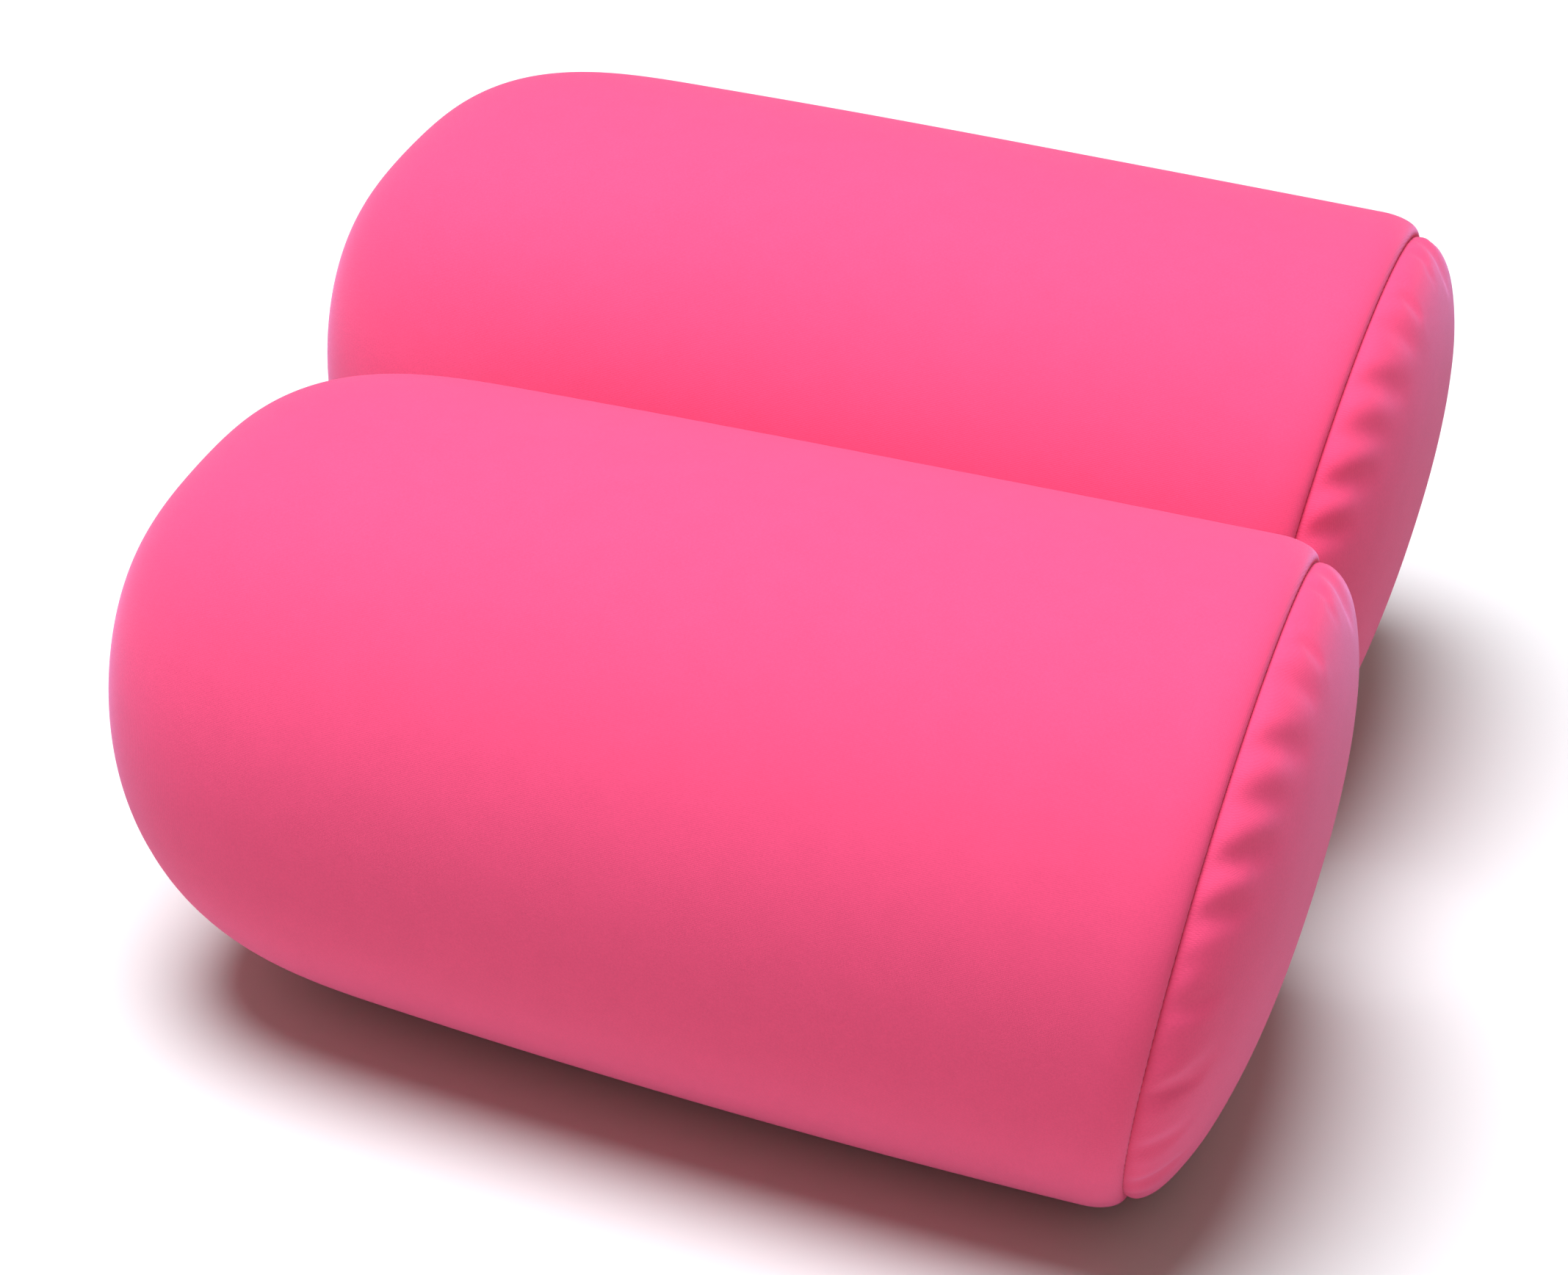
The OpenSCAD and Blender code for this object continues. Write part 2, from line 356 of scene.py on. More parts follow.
def placed(name, data):
    """A new object in the scene."""
    thing = bpy.data.objects.new(name, data)
    bpy.context.scene.collection.objects.link(thing)
    return thing


def new_piece(side, name, frames, vertices, faces, look, slot, stands_for=None, rides="bolster"):
    """A mesh piece of one bolster, in its frame, that rides on a CAD body and stands for a CAD node."""
    mesh = bpy.data.meshes.new(f"{side}_{name}")
    mesh.from_pydata(np.asarray(vertices, float).tolist(), [], faces)
    mesh.validate()
    mesh.shade_smooth()
    mesh.materials.append(look.material)
    piece = placed(mesh.name, mesh)
    piece.matrix_world = frames[side]
    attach(piece, f"{side}_{rides}")
    if stands_for:
        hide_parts(f"{side}_{stands_for}")
    return piece


def grid_faces(rows, columns, wrap=False):
    """Quads over a grid of vertices, numbered row by row."""
    row, column = np.meshgrid(np.arange(rows - 1), np.arange(columns if wrap else columns - 1), indexing="ij")
    after = (column + 1) % columns
    a, b = row * columns + column, row * columns + after
    c, d = (row + 1) * columns + after, (row + 1) * columns + column
    return [tuple(face) for face in np.stack([a, b, c, d], -1).reshape(-1, 4).tolist()]


def rim_faces(faces, shift):
    """Quads that join the open edges of some faces to the same edges of a copy, shift vertices on."""
    edges = dict.fromkeys((one, two) for face in faces for one, two in zip(face, face[1:] + face[:1]))
    return [(two, one, one + shift, two + shift) for one, two in edges if (two, one) not in edges]


def flipped(faces):
    """Faces turned inside out."""
    return [tuple(reversed(face)) for face in faces]


def shell(outer, inner, wrap=False, pole=False, turned=False):
    """The vertices and faces of a closed skin between two grids. pole closes the last row to a point, and
    turned is for grids whose faces would look inwards."""
    rows, columns = outer.shape[:2]
    faces = grid_faces(rows, columns, wrap)
    outer_points, inner_points = outer.reshape(-1, 3), inner.reshape(-1, 3)
    if pole:
        last = (rows - 1) * columns
        tip = rows * columns
        fans = [(last + i, last + (i + 1) % columns, tip) for i in range(columns)]
        outer_points = np.concatenate([outer_points, outer[-1].mean(0)[None]])
        inner_points = np.concatenate([inner_points, inner[-1].mean(0)[None]])
        faces = faces + fans
    shift = len(outer_points)
    back = [tuple(vertex + shift for vertex in reversed(face)) for face in faces]
    faces = faces + back + rim_faces(faces, shift)
    return np.concatenate([outer_points, inner_points]), flipped(faces) if turned else faces


# ---- Materials

class Shader:
    """A material's node tree, with short ways to add its nodes."""

    def __init__(self, name, colour, roughness, **values):
        self.material = bpy.data.materials.new(name)
        self.material.use_nodes = True
        self.tree = self.material.node_tree
        self.surface = self.tree.nodes["Principled BSDF"]
        self.put(self.surface, Base_Color=(*colour, 1), Roughness=roughness, **values)
        self.colour = colour
        self.where = self.add("TexCoord").outputs["Object"]
        self.x, self.y, self.z = self.add("SeparateXYZ", Vector=self.where).outputs

    def fill_in(self, socket, value):
        """Sets a socket to a value, or links another node's socket to it."""
        if isinstance(value, bpy.types.NodeSocket):
            self.tree.links.new(value, socket)
        else:
            socket.default_value = value

    def put(self, node, **inputs):
        for name, value in inputs.items():
            self.fill_in(node.inputs[name.replace("_", " ")], value)
        return node

    def add(self, kind, **inputs):
        """A new node with some of its inputs filled in."""
        return self.put(self.tree.nodes.new(f"ShaderNode{kind}"), **inputs)

    def maths(self, operation, one, two=0.0):
        node = self.add("Math")
        node.operation = operation
        self.fill_in(node.inputs[0], one)
        self.fill_in(node.inputs[1], two)
        return node.outputs[0]

    def blend(self, *shares):
        """The sum of several masks, each times its weight."""
        total = 0.0
        for mask, weight in shares:
            total = self.maths("ADD", self.maths("MULTIPLY", mask, weight), total)
        return total

    def wave(self, along, period, phase=0.0):
        """A sine from -1 to 1 that repeats every period along a coordinate."""
        turns = self.maths("MULTIPLY", along, 2 * math.pi / period)
        return self.maths("SINE", self.maths("ADD", turns, phase))

    def noise(self, size, detail=2.0, stretch=None):
        """Soft noise from about 0 to 1, with lumps of a size. stretch scales it along X, Y and Z."""
        where = self.where
        if stretch:
            where = self.add("Mapping", Vector=where, Scale=stretch).outputs[0]
        return self.add("TexNoise", Vector=where, Scale=1 / size, Detail=detail).outputs["Fac"]

    def cells(self, size):
        """The distance to the nearest of many scattered points, from 0 to about 1."""
        return self.add("TexVoronoi", Vector=self.where, Scale=1 / size).outputs["Distance"]

    def around(self):
        """The distance round the bolster, from its back."""
        return self.maths("MULTIPLY", self.maths("ARCTAN2", self.z, self.y), TUBE_R)

    def vary(self, mask, darker, lighter, low=0.3, high=0.7):
        """Varies the colour between two shares of itself as a mask goes from low to high."""
        ramp = self.add("ValToRGB", Fac=mask)
        for stop, place, share in zip(ramp.color_ramp.elements, (low, high), (darker, lighter)):
            stop.position = place
            stop.color = (*[min(1, c * share) for c in self.colour], 1)
        self.put(self.surface, Base_Color=ramp.outputs[0])

    def roughen(self, mask, low, high):
        """Roughness from low to high as a mask goes from 0 to 1."""
        spread = self.maths("MULTIPLY", mask, high - low)
        self.put(self.surface, Roughness=self.maths("ADD", spread, low))

    def bump(self, height, depth, strength=1.0):
        bump = self.add("Bump", Strength=strength, Distance=depth, Height=height)
        self.put(self.surface, Normal=bump.outputs[0])


PINK = (0.77, 0.070, 0.162)
WALE = 0.5 * MM
COURSE = 0.42 * MM


def knit(name, wales_along, courses_along):
    """Fine stretch knit: rows of small V-shaped stitches, a soft nap, and a faint unevenness of dye."""
    shader = Shader(
        name, PINK, 0.85, Sheen_Weight=0.34, Sheen_Roughness=0.45, Sheen_Tint=(0.9, 0.6, 1.0, 1),
        Specular_IOR_Level=0.15,
    )
    along = {"x": shader.x, "y": shader.y, "z": shader.z}
    wales = shader.around() if wales_along == "around" else along[wales_along]
    courses = shader.around() if courses_along == "around" else along[courses_along]
    rib = shader.maths("ABSOLUTE", shader.wave(wales, 2 * WALE))
    stitch = shader.wave(courses, COURSE, shader.maths("MULTIPLY", rib, 1.6))
    fuzz = shader.noise(0.3 * MM, 3.0)
    shader.bump(shader.blend((stitch, 0.25), (rib, 0.5), (fuzz, 0.9)), 0.07 * MM, 0.6)
    shader.roughen(fuzz, 0.72, 0.95)
    patch, speck = shader.noise(9 * MM, 3.0), shader.noise(0.6 * MM, 2.0)
    shader.vary(shader.blend((patch, 0.3), (speck, 0.7)), 0.95, 1.05)
    return shader


tube_knit = knit("tube_knit", "around", "x")
end_knit = knit("end_knit", "y", "z")


# Close plain weave
lining = Shader("liner_cloth", (0.86, 0.85, 0.81), 0.9)
pitch = 0.4 * MM
weave = lining.maths("MULTIPLY", lining.wave(lining.x, pitch), lining.wave(lining.around(), pitch))
lining.bump(lining.maths("ADD", weave, lining.noise(pitch, 2.0)), 0.03 * MM)
lining.vary(lining.noise(12 * pitch, 2.0), 0.94, 1.06)

# Woven zip tape: a close twill over its warp
tape = Shader("tape_twill", (0.66, 0.045, 0.13), 0.75, Sheen_Weight=0.2, Sheen_Roughness=0.5)
twill = tape.wave(tape.maths("ADD", tape.x, tape.around()), 0.7 * MM)
warp = tape.wave(tape.around(), 0.45 * MM)
tape.bump(tape.maths("ADD", twill, warp), 0.06 * MM)
tape.vary(tape.noise(2 * MM), 0.92, 1.08)

# Twisted polyester thread
thread = Shader("thread", (0.74, 0.06, 0.15), 0.55, Sheen_Weight=0.3)
slanting = thread.blend((thread.x, 1.0), (thread.y, 1.0), (thread.z, 1.0))
thread.bump(thread.wave(slanting, 0.25 * MM), 0.03 * MM)
thread.vary(thread.noise(1.5 * MM), 0.9, 1.1)

# Smooth dyed nylon
nylon = Shader("coil_nylon", (0.70, 0.045, 0.13), 0.32, Coat_Weight=0.15)
nylon.vary(nylon.noise(3 * MM), 0.93, 1.07)
nylon.roughen(nylon.noise(1 * MM), 0.25, 0.45)

# Plated zinc: fine brushing, with a few duller handled patches
nickel = Shader("nickel", (0.62, 0.60, 0.57), 0.3, Metallic=1.0)
brushed = nickel.noise(0.25 * MM, 3.0, (0.15, 1, 1))
worn = nickel.noise(2.5 * MM, 3.0)
nickel.roughen(nickel.blend((brushed, 0.5), (worn, 0.5)), 0.18, 0.5)
nickel.bump(brushed, 0.01 * MM, 0.6)
nickel.vary(worn, 0.88, 1.05)

# Woven satin with nothing on it
satin = Shader("label_satin", (0.88, 0.87, 0.84), 0.35, Sheen_Weight=0.3, Anisotropic=0.4)
satin.bump(satin.maths("ADD", satin.wave(satin.x, 0.22 * MM), satin.noise(0.3 * MM)), 0.01 * MM)
satin.vary(satin.noise(4 * MM), 0.97, 1.02)

# Expanded polystyrene microbeads, packed close, with painted shade in the gaps between them
foam = Shader("microbeads", (0.9, 0.9, 0.88), 0.6, Subsurface_Weight=0.1)
near = foam.cells(0.8 * MM)
foam.bump(foam.maths("SUBTRACT", 1.0, near), 0.35 * MM)
# Painted shade: each bead's colour darkens from its middle towards the gaps between beads.
foam.vary(near, 1.04, 0.86, 0.1, 0.8)


# ---- The cover

NEAR_LIP = np.array([0, 0.2, 0.5, 0.9, 1.5, 2.3, 3.1, 4.2, 5.2, 6.4, 8, 10.5, 13.5, 17, 21, 26]) * MM
COLUMN_W = 1.75 * MM


def pulled_in(rows, s):
    """Profile points with the dip beside the right end seam, where s is the distance from that seam."""
    dip = groove(s)
    return rows - np.stack([0.5 * dip, 0.8 * dip], -1)


def left_groove(s, angles):
    """The dip at the left end seam, which the fill presses flatter over the front and the top."""
    from_front = np.abs(wrapped(angles - SEAM_PLANE_TURN))
    pressed = 1 - smooth((from_front - PRESSED_HALF_TURN) / PRESSED_FADE)
    return groove(s) * (1.1 - 0.5 * pressed)


def ring_angles(columns, rows):
    """Even angles all round, from the zip's, for each of some rows."""
    return np.broadcast_to(ZIP_ANGLE + np.arange(columns) * 2 * math.pi / columns, (rows, columns))


def half_opening(x):
    """Half of the gap between the lips: the opening over the zip, then the closing seam."""
    closing = np.clip((np.abs(x) - OPENING_END + LIP_CLOSE_L) / LIP_CLOSE_L, 0, 1)
    return np.maximum(LIP * np.sqrt(1 - closing ** 2), SEAM_HALF_GAP)


def rolled(d, radius):
    """How far a rounded edge falls at a distance d from its lip."""
    over = np.clip(1 - d / radius, 0, 1)
    return radius * (1 - np.sqrt(1 - over ** 2))


def tube_columns(x):
    """The angles of the tube's columns at each x, and their distances from the nearer lip."""
    gap = half_opening(x)[:, None]
    reach = NEAR_LIP[-1]
    beside = NEAR_LIP + gap + (LIP - gap) * NEAR_LIP / reach
    turn = np.arcsin(beside / HEM_TOP)
    first = math.asin((reach + LIP) / HEM_TOP)
    count = round((2 * math.pi - 2 * first) * TUBE_R / COLUMN_W)
    between = np.broadcast_to(np.linspace(first, 2 * math.pi - first, count + 1)[1:-1], (len(x), count - 1))
    turns = np.concatenate([turn, between, 2 * math.pi - turn[:, ::-1]], 1)
    far = np.full(count - 1, 1.0)
    from_lip = np.concatenate([NEAR_LIP, far, NEAR_LIP[::-1]])
    return ZIP_ANGLE - turns, from_lip


def tube_grid(left_steps, right_steps, step):
    """The cover tube's grid: its profile points, normals and angles, its distances from the end seams and
    from the nearer lip, and how far the opening over the zip is open at each row."""
    part = 1 - crowded(left_steps, 1.4)
    right, right_normals = profile(middle_rows(step), shoulder_rows(right_steps))
    along_zip = part * seam_distance(np.array([ZIP_ANGLE]))
    x = np.concatenate([on_rounding(along_zip)[0][:, 0], right[:, 0]])
    angles, from_lip = tube_columns(x)
    left_angles = angles[:left_steps]
    distance = part[:, None] * seam_distance(left_angles)
    points, _ = on_rounding(distance)
    share = zip_share(points[..., 0], np.cos(left_angles) * TUBE_R, np.sin(left_angles) * TUBE_R)
    distance = distance * (1 - share) + along_zip[:, None] * share
    points, normals = on_rounding(distance)
    columns = angles.shape[1]
    right = np.repeat(right[:, None], columns, 1)
    right_normals = np.repeat(right_normals[:, None], columns, 1)
    from_left = np.concatenate([seam_distance(left_angles) - distance, np.full(right.shape[:2], 1.0)])
    length = arc_from_start(right[:, 0])
    from_right = np.concatenate([np.full(left_steps, 1.0), length[-1] - length])
    opened = smooth((half_opening(x) - SEAM_HALF_GAP) / (LIP - SEAM_HALF_GAP))[:, None]
    return (
        np.concatenate([points, right]), np.concatenate([normals, right_normals]), angles,
        from_left, from_right[:, None], from_lip, opened,
    )


def cover_tube(side):
    """The cover's tube, with the hemmed opening over the zip."""
    rows, normals, angles, from_left, from_right, from_lip, opened = tube_grid(30, 20, 2.8 * MM)
    rows = pulled_in(rows, from_right)
    fall = rolled(from_lip[None, :], SEAM_ROUND + (LIP_ROUND - SEAM_ROUND) * opened)
    stitched = STITCH_DENT * np.exp(-((from_lip - STITCH_LINE + LIP) / STITCH_DENT_W) ** 2) * opened
    push = tube_push(angles, from_right) - left_groove(from_left, angles) - fall - stitched
    hem = COVER_T * smooth((HEM_W - from_lip) / HEM_FADE) * opened
    outer = at_inset(side, rows, normals, angles, 0, push)
    inner = at_inset(side, rows, normals, angles, COVER_T + hem, push)
    skin = shell(outer, inner, turned=True)
    piece = new_piece(side, "cover_tube", FRAMES, *skin, tube_knit, "cover_knit", "tube_panel")


# Soft puckers on the end panels, each as its angle from the back over the top in degrees, its distance from
# the seam and its depth in mm, and its slant. The tube's, at its right seam, are only angle and depth.
PUCKERS = {
    "right": [
        (105, 10, 0.6, -0.3), (119, 7, 1.3, -0.5), (129, 9, 0.9, -0.4), (140, 7, 1.5, -0.5),
        (150, 6, 0.8, -0.4), (166, 6, 0.4, -0.3), (184, 6, 1.0, -0.4), (199, 6, 0.5, -0.2),
        (214, 4, 0.8, 0.0), (236, 6, 0.8, 0.2), (262, 5, 1.0, 0.3), (296, 6, 0.9, 0.3),
        (330, 5, 1.1, -0.2), (4, 6, 0.8, 0.3), (38, 5, 1.0, 0.2), (70, 6, 0.8, -0.2),
    ],
    "left": [
        (20, 6, 0.9, 0.3), (44, 5, 1.1, -0.3), (78, 6, 0.8, 0.2), (112, 5, 0.9, -0.2), (150, 6, 0.8, 0.3),
        (188, 5, 1.0, 0.2), (216, 6, 0.9, -0.3), (240, 5, 1.2, 0.3), (268, 5, 0.9, -0.3), (299, 6, 1.1, 0.2),
        (334, 5, 0.9, 0.3),
    ],
}
CORNER_PUCKERS = ((211, 0.9), (218, 0.7))
PUCKER_L = 8 * MM
DIP_W = 3.4 * MM
SWELL_W = 4 * MM
SWELL_AWAY = 6.5 * MM
CORNER_AWAY = 3 * MM
CORNER_L = 5 * MM
CORNER_W = 1.6 * MM


def pinched(end_name, angles, s, radius):
    """The first shape of the puckers: how far an end panel dips or swells a distance s from its seam."""
    push = np.zeros(angles.shape)
    for degrees, distance, depth, slant in PUCKERS[end_name]:
        across = wrapped(angles - math.radians(degrees)) * radius - slant * (s - distance * MM)
        fade = np.exp(-((s - distance * MM) / PUCKER_L) ** 2) * smooth(s / (3 * MM))
        dip = np.exp(-(across / DIP_W) ** 2)
        swell = sum(np.exp(-((across + step) / SWELL_W) ** 2) for step in (-SWELL_AWAY, SWELL_AWAY))
        push += depth * MM * (0.3 * swell - dip) * fade
    return push


def tube_push(angles, from_right):
    """The small puckers of the tube beside the right end seam, where it comes down to the floor."""
    push = np.zeros(np.broadcast_shapes(angles.shape, from_right.shape))
    for degrees, depth in CORNER_PUCKERS:
        across = (angles - math.radians(degrees)) * SEAM_R
        fade = np.exp(-((from_right - CORNER_AWAY) / CORNER_L) ** 2) * smooth(from_right / (2 * MM))
        push -= depth * MM * np.exp(-(across / CORNER_W) ** 2) * fade
    return push


SIM_COLUMNS = 168
SIM_STEPS = 15
SIM_REACH = 42 * MM
SIM_SCALE = 10
SIM_FRAMES = 20
PUCKER_CAP = 1.6 * MM


def settled_puckers(end_name):
    """The puckers of an end panel after a cloth simulation: a ring of the panel, cut a little wide at its
    seam, is held at the seam and at its inner edge and blown up by the fill. Gives how far the cloth moved
    off the smooth panel, over a grid of distances from the seam and angles."""
    angles = ring_angles(SIM_COLUMNS, SIM_STEPS)
    distances = np.linspace(0, SIM_REACH, SIM_STEPS)[:, None] * np.ones_like(angles)
    points, normals = end_grid(end_name, angles, distances)
    start = pinched(end_name, angles, distances, points[..., 1])
    grids = [at_inset("front", points, normals, angles, 0, push) for push in (0.0, 0.01, start)]
    smooth_grid = grids[0]
    out = grids[1] - smooth_grid
    out /= np.maximum(np.linalg.norm(out, axis=2), 1e-6)[..., None]
    mesh = bpy.data.meshes.new("panel_ring")
    faces = grid_faces(SIM_STEPS, SIM_COLUMNS, wrap=True)
    if end_name == "left":
        faces = flipped(faces)
    mesh.from_pydata((grids[2].reshape(-1, 3) * SIM_SCALE).tolist(), [], faces)
    ring = placed("panel_ring", mesh)
    held = ring.vertex_groups.new(name="held")
    wide = ring.vertex_groups.new(name="wide")
    for row in range(SIM_STEPS):
        line = list(range(row * SIM_COLUMNS, (row + 1) * SIM_COLUMNS))
        held.add(line, 1.0 if row in (0, SIM_STEPS - 1) else 0.0, "REPLACE")
        wide.add(line, float(smooth(1.3 - row / 6)), "REPLACE")
    cloth = ring.modifiers.new("cloth", "CLOTH")
    settings = cloth.settings
    settings.quality = 6
    settings.mass = 0.25
    settings.tension_stiffness = settings.compression_stiffness = 12
    settings.shear_stiffness = 6
    settings.bending_stiffness = 0.6
    settings.air_damping = 3
    settings.vertex_group_mass = "held"
    settings.pin_stiffness = 1
    settings.shrink_min = 0
    settings.shrink_max = -0.05
    settings.vertex_group_shrink = "wide"
    settings.use_pressure = True
    settings.uniform_pressure_force = 4
    settings.effector_weights.gravity = 0
    cloth.collision_settings.use_collision = False
    cloth.point_cache.frame_start, cloth.point_cache.frame_end = 1, SIM_FRAMES
    for step in range(SIM_FRAMES):
        bpy.context.scene.frame_set(1 + step)
    settled = ring.evaluated_get(bpy.context.evaluated_depsgraph_get())
    points = np.array([vertex.co for vertex in settled.data.vertices]).reshape(smooth_grid.shape)
    moved = points / SIM_SCALE - smooth_grid
    bpy.data.objects.remove(ring)
    bpy.data.meshes.remove(mesh)
    bpy.context.scene.frame_set(1)
    push = (moved * out).sum(2)
    push -= push.mean(1, keepdims=True)
    return PUCKER_CAP * np.tanh(push / PUCKER_CAP)


def cubic(before, here, after, beyond, t):
    """A smooth curve through four even steps, between the middle two as t goes from 0 to 1."""
    third = 3 * (here - after) + beyond - before
    second = 2 * before - 5 * here + 4 * after - beyond
    return here + 0.5 * t * (after - before + t * (second + t * third))


def round_the_ring(grid, columns):
    """A grid's rows, interpolated smoothly round the ring to more columns."""
    count = grid.shape[1]
    at = np.arange(columns) * count / columns
    low = np.floor(at).astype(int)
    return cubic(*(grid[:, (low + step) % count] for step in (-1, 0, 1, 2)), at - low)


def panel_push(end_name, angles, distances):
    fine = round_the_ring(SETTLED[end_name], angles.shape[1])
    at = np.clip(distances / SIM_REACH, 0, 1) * (SIM_STEPS - 1)
    low = np.minimum(np.floor(at).astype(int), SIM_STEPS - 2)
    column = np.broadcast_to(np.arange(angles.shape[1]), low.shape)
    rows = (np.clip(low + step, 0, SIM_STEPS - 1) for step in (-1, 0, 1, 2))
    return cubic(*(fine[row, column] for row in rows), at - low)


def end_grid(end_name, angles, distances):
    """The profile points and normals of an end panel's skin, at distances in from its seam. distances is
    a column, or a grid that matches the angles."""
    if end_name == "left":
        return on_rounding(seam_distance(angles) + distances)
    distances = np.broadcast_to(distances, np.broadcast_shapes(np.shape(distances), np.shape(angles)))
    return [read_off(distances, CROWN_ARC, part) for part in CROWN]


def panel_grid(end_name, columns, steps):
    """A grid over a whole end panel, from its seam to near its middle, with the distances from its seam."""
    angles = ring_angles(columns, steps)
    part = crowded(steps, 1.6)[:, None]
    length = ROUNDING_ARC - seam_distance(angles) if end_name == "left" else CROWN_ARC[-1]
    distances = length * part * np.ones_like(angles)
    points, normals = end_grid(end_name, angles, distances)
    return points, normals, angles, distances


def cover_end(side, end_name):
    """One end panel of the cover, with its puckers."""
    points, normals, angles, distances = panel_grid(end_name, 300, 48)
    if end_name == "right":
        points = pulled_in(points, distances)
    push = panel_push(end_name, angles, distances)
    if end_name == "left":
        push = push - left_groove(distances, angles)
    outer = at_inset(side, points, normals, angles, 0, push)
    inner = at_inset(side, points, normals, angles, COVER_T, push)
    skin = shell(outer, inner, wrap=True, pole=True, turned=end_name == "left")
    name, node = f"cover_end_{end_name}", f"end_panel_{end_name}"
    piece = new_piece(side, name, FRAMES, *skin, end_knit, "cover_knit", node)


SETTLED = {end_name: settled_puckers(end_name) for end_name in ENDS}
for side in BOLSTERS:
    cover_tube(side)
    for end_name in ENDS:
        cover_end(side, end_name)


# ---- Inside the cover: seam allowances, liner and fill

LINER_SEAM = 0.55 * ROUNDING_ARC


def below_zip(points, inset):
    """Points of the liner or the fill, pressed flat under the zip. inset is the skin's own."""
    matrix = np.array((FRAMES["front"].inverted() @ ZIP_FRAMES["front"]).to_3x3())
    turned = points @ matrix
    limit = POCKET_FLOOR - (inset - LINER_INSET)
    turned[..., 2] = -soft_floor(-turned[..., 2], -limit, 0.4 * MM)
    return turned @ matrix.T


def inner_skin(side, rows, normals, columns, inset):
    """A grid of points on a skin of the liner or the fill."""
    points = at_inset(side, rows, normals, ring_angles(columns, len(rows)), inset)
    return below_zip(points, inset)


def liner(side):
    """The inner bag: a tube and two ends of light woven cloth."""
    left = on_rounding(np.linspace(LINER_SEAM, 0, 12, endpoint=False))
    tube = joined(left, profile(middle_rows(6 * MM), shoulder_rows(8)))
    left_cap = on_rounding(np.linspace(LINER_SEAM, ROUNDING_ARC, 18, endpoint=False))
    right_cap = profile(crown_rows(18))
    insets = (LINER_INSET, LINER_INSET + LINER_T)
    for name, node, (rows, normals) in (
        ("liner_bag", "liner_tube", tube),
        ("liner_cap_left", "liner_end_left", left_cap),
        ("liner_cap_right", "liner_end_right", right_cap),
    ):
        grids = [inner_skin(side, rows, normals, 144, inset) for inset in insets]
        skin = shell(*grids, wrap=True, pole=name != "liner_bag", turned=name == "liner_cap_left")
        new_piece(side, name, FRAMES, *skin, lining, "liner_cloth", node)


def fill(side):
    """The beads, as the one body that they press into."""
    left = on_rounding(np.linspace(ROUNDING_ARC * 0.999, 0, 28, endpoint=False))
    rows, normals = joined(left, profile(middle_rows(6 * MM), shoulder_rows(10), crown_rows(14)[1:]))
    points = inner_skin(side, rows, normals, 128, FILL_INSET)
    count, columns = points.shape[:2]
    faces = grid_faces(count, columns, wrap=True)
    tips = [count * columns, count * columns + 1]
    faces += [((i + 1) % columns, i, tips[0]) for i in range(columns)]
    last = (count - 1) * columns
    faces += [(last + i, last + (i + 1) % columns, tips[1]) for i in range(columns)]
    vertices = np.concatenate([points.reshape(-1, 3), points[:1].mean(1), points[-1:].mean(1)])
    piece = new_piece(side, "beads", FRAMES, vertices, faces, foam, "foam_beads", "bead_fill")


ALLOWANCE_W = 8.5 * MM
END_PLIES = ((1.0 * MM, 1.4 * MM), (1.45 * MM, 1.85 * MM))
CLOSING_PLIES = ((-7 * MM, -0.3 * MM), (0.3 * MM, 7 * MM))
OVERLOCK_STEP = 2.6 * MM
OVERLOCK_MIDDLE = 1.42 * MM
OVERLOCK_HALF_H = 0.38 * MM
OVERLOCK_REACH = 1.1 * MM
STITCH_L = 2.4 * MM
STITCH_GAP = 0.5 * MM
THREAD_R = 0.17 * MM


